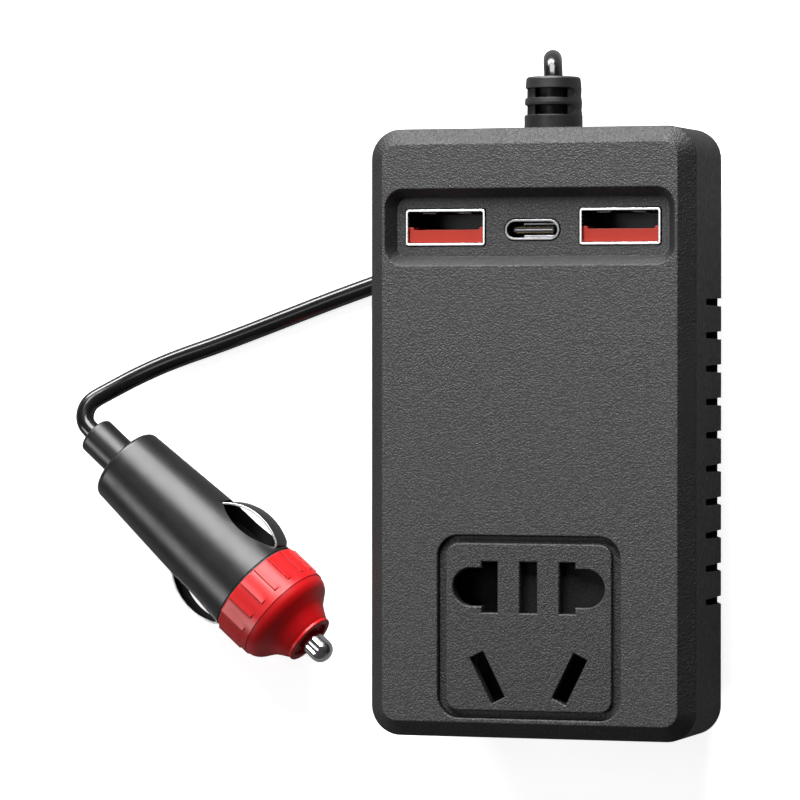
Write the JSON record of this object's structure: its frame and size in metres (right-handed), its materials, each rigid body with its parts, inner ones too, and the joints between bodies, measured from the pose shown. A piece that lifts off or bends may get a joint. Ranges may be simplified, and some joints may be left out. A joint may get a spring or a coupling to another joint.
{
  "type": "car power inverter",
  "caption": "Pocket power inverter lying on its back: mains outlet and USB ports on its face, and a short cord to a lighter plug with a red screw cap.",
  "frame": {"origin": "centre of the body's footprint, on the surface it stands on", "axes": "+Z out of the face with the ports, +Y towards the cord end, +X to the right as the face is read"},
  "size_m": [0.1132, 0.1092, 0.031],
  "materials": {
    "housing": "dark grey ABS, fine leather-like mould grain",
    "outlet_plate": "dark grey flame-retardant plastic, fine grain",
    "inner_plastic": "black moulded insulator",
    "shutter": "grey nylon",
    "contact_brass": "plain brass strip",
    "spring_steel": "spring wire",
    "screw_steel": "zinc plated",
    "foot_rubber": "matt black rubber",
    "port_shell": "nickel-plated stamped steel, bright edge",
    "port_tongue": "orange-red moulded plastic",
    "port_insulator": "black moulded plastic",
    "circuit_board": "green solder mask",
    "ferrite": "ferrite",
    "copper_winding": "enamelled copper",
    "capacitor_can": "sleeved can",
    "heat_sink_metal": "extruded",
    "transistor_case": "moulded case",
    "lead_insulation": "wire insulation",
    "cord_jacket": "glossy black PVC",
    "relief_rubber": "black flexible PVC",
    "plug_shell": "black satin plastic",
    "fuse_glass": "clear",
    "cap_red": "red satin plastic",
    "gasket": "thin black seal",
    "tip_chrome": "polished nickel plate",
    "leaf_steel": "dark spring steel with polished edges"
  },
  "bodies": {
    "housing": {"front_housing": "housing", "back_housing": "housing", "housing_screws": "screw_steel", "rubber_feet": "foot_rubber", "socket_faceplate": "outlet_plate", "socket_body": "inner_plastic", "live_contact": "contact_brass", "neutral_contact": "contact_brass", "earth_contact": "contact_brass", "shutter_upper_spring": "spring_steel", "shutter_lower_spring": "spring_steel", "usb_a_shell_left": "port_shell", "usb_a_shell_right": "port_shell", "usb_a_tongue_left": "port_tongue", "usb_a_tongue_right": "port_tongue", "usb_c_shell": "port_shell", "usb_c_tongue": "port_insulator", "usb_board": "circuit_board", "main_board": "circuit_board", "transformer_core": "ferrite", "transformer_winding": "copper_winding", "input_capacitors": "capacitor_can", "high_voltage_capacitor": "capacitor_can", "heat_sink": "heat_sink_metal", "power_transistors": "transistor_case", "inductor_core": "ferrite", "inductor_winding": "copper_winding", "internal_leads": "lead_insulation", "strain_relief": "relief_rubber", "power_cord": "cord_jacket", "plug_neck_relief": "plug_shell", "plug_barrel": "plug_shell", "plug_leads": "lead_insulation", "fuse_contact": "contact_brass", "tip_spring": "spring_steel"},
    "upper_shutter": {"shutter_upper": "shutter"},
    "lower_shutter": {"shutter_lower": "inner_plastic"},
    "cap_thread": {"cap_gasket": "gasket"},
    "nose": {"nose_cap": "cap_red"},
    "tip": {"tip_pin": "tip_chrome", "fuse_glass": "fuse_glass", "fuse_caps": "spring_steel"},
    "leaf_right": {"leaf_contact_right": "leaf_steel"},
    "leaf_left": {"leaf_contact_left": "leaf_steel"}
  },
  "joints": [
    {"name": "upper_shutter_slide", "type": "slide", "parent": "housing", "child": "upper_shutter", "axis": [0, 1, 0], "range_m": [0, 0.0092], "stiffness_N_per_m": 40, "deforming": ["shutter_upper_spring"]},
    {"name": "lower_shutter_slide", "type": "slide", "parent": "housing", "child": "lower_shutter", "axis": [1, 0, 0], "range_m": [0, 0.0062], "stiffness_N_per_m": 40, "deforming": ["shutter_lower_spring"]},
    {"name": "cap_travel", "type": "slide", "parent": "housing", "child": "cap_thread", "axis": [0.7606, -0.6451, 0.0727], "range_m": [0, 0.003]},
    {"name": "cap_turn", "type": "hinge", "parent": "cap_thread", "child": "nose", "pos_m": [-0.05186, -0.02745, 0.00906], "axis": [0.7606, -0.6451, 0.0727], "range_deg": [0, 720]},
    {"name": "tip_press", "type": "slide", "parent": "nose", "child": "tip", "axis": [-0.7606, 0.6451, -0.0727], "range_m": [0, 0.0022], "stiffness_N_per_m": 700, "deforming": ["tip_spring"]},
    {"name": "leaf_right_press", "type": "hinge", "parent": "housing", "child": "leaf_right", "pos_m": [-0.0635, -0.0092, 0.00795], "axis": [0.0948, -0.0004, -0.9955], "range_deg": [0, 4], "stiffness_Nm_per_rad": 0.3},
    {"name": "leaf_left_press", "type": "hinge", "parent": "housing", "child": "leaf_left", "pos_m": [-0.07172, -0.01899, 0.00717], "axis": [-0.0948, 0.0004, 0.9955], "range_deg": [0, 4], "stiffness_Nm_per_rad": 0.3}
  ],
  "couplings": [
    {"joint": "cap_turn", "follows": "cap_travel", "rad_per_m": 4188.7}
  ]
}
